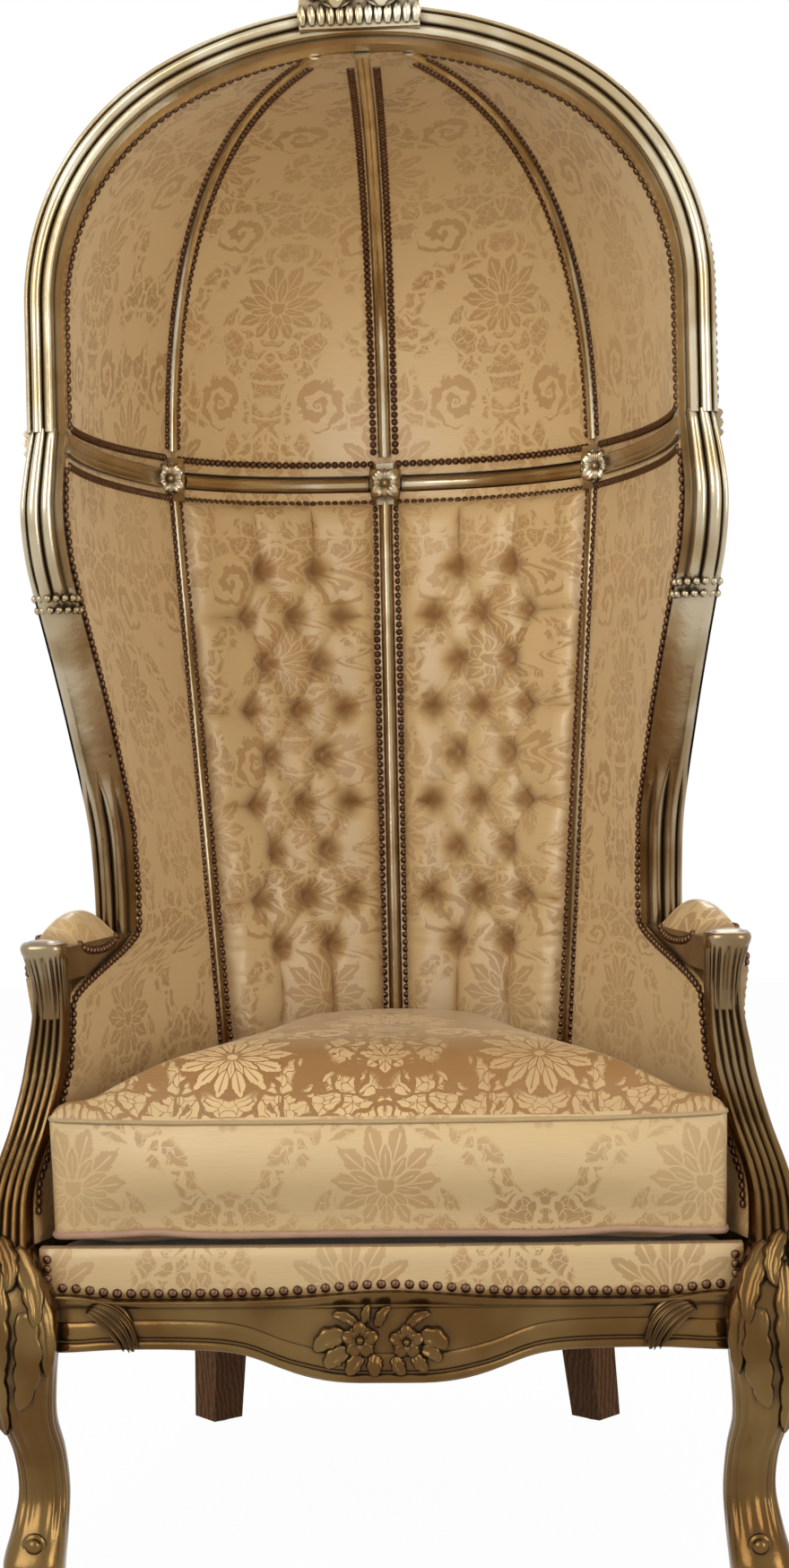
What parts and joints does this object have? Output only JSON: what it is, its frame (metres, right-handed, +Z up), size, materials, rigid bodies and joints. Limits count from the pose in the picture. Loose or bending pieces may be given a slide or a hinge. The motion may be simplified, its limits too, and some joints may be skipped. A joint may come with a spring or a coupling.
{
  "type": "throne chair",
  "caption": "Gilded hooded throne chair with a ribbed half-dome canopy, tufted inside back, closed arms, cabriole front legs and a loose T-shaped seat cushion.",
  "frame": {"origin": "on the floor, at the middle of the chair's width and depth", "axes": "+Z up, +X to the right as seen from in front of the chair, the chair faces -Y"},
  "size_m": [0.8646, 0.7914, 1.7609],
  "materials": {
    "gilded_wood": "gold leaf, burnished",
    "walnut": "dark stained, satin",
    "plain_beech": "bare",
    "damask": "satin damask",
    "lining": "plain cotton over springs",
    "jute_webbing": "coarse weave",
    "black_lining": "matte cambric",
    "screw_steel": "zinc plated",
    "glide_steel": "nickel plated"
  },
  "bodies": {
    "frame": {"front_leg_right": "gilded_wood", "front_leg_left": "gilded_wood", "rear_leg_right": "walnut", "rear_leg_left": "walnut", "seat_side_rail_right": "gilded_wood", "seat_side_rail_left": "gilded_wood", "arm_support_right": "gilded_wood", "arm_support_left": "gilded_wood", "arm_rail_right": "gilded_wood", "arm_rail_left": "gilded_wood", "arm_pad_right": "damask", "arm_pad_left": "damask", "wing_post_right": "gilded_wood", "wing_post_left": "gilded_wood", "hood_arch_right": "gilded_wood", "hood_arch_left": "gilded_wood", "back_stile_right": "gilded_wood", "back_stile_left": "gilded_wood", "belt_rail_side_right": "gilded_wood", "belt_rail_side_left": "gilded_wood", "belt_rail_back_right": "gilded_wood", "belt_rail_back_left": "gilded_wood", "joint_block_right": "gilded_wood", "joint_block_left": "gilded_wood", "hood_rib_right": "gilded_wood", "hood_rib_left": "gilded_wood", "side_panel_inner_right": "damask", "side_panel_inner_left": "damask", "side_panel_outer_right": "damask", "side_panel_outer_left": "damask", "back_panel_tufted_right": "damask", "back_panel_tufted_left": "damask", "back_panel_outer_right": "damask", "back_panel_outer_left": "damask", "hood_panel_inner_right": "damask", "hood_panel_inner_left": "damask", "hood_panel_outer_right": "damask", "hood_panel_outer_left": "damask", "hood_wing_inner_right": "damask", "hood_wing_inner_left": "damask", "hood_wing_outer_right": "damask", "hood_wing_outer_left": "damask", "seat_back_rail": "gilded_wood", "front_apron": "gilded_wood", "back_stile_centre": "gilded_wood", "joint_block_centre": "gilded_wood", "hood_rib_centre": "gilded_wood", "crest": "gilded_wood", "seat_front_border": "damask", "seat_webbing_lengthwise": "jute_webbing", "seat_webbing_crosswise": "jute_webbing", "seat_deck": "lining", "dust_cover": "black_lining", "corner_blocks": "plain_beech", "frame_screws": "screw_steel", "glides": "glide_steel"},
    "cushion": {"seat_cushion": "damask"}
  },
  "joints": [
    {"name": "cushion_lift", "type": "slide", "parent": "frame", "child": "cushion", "axis": [0, 0, 1], "range_m": [0, 0.15]}
  ]
}
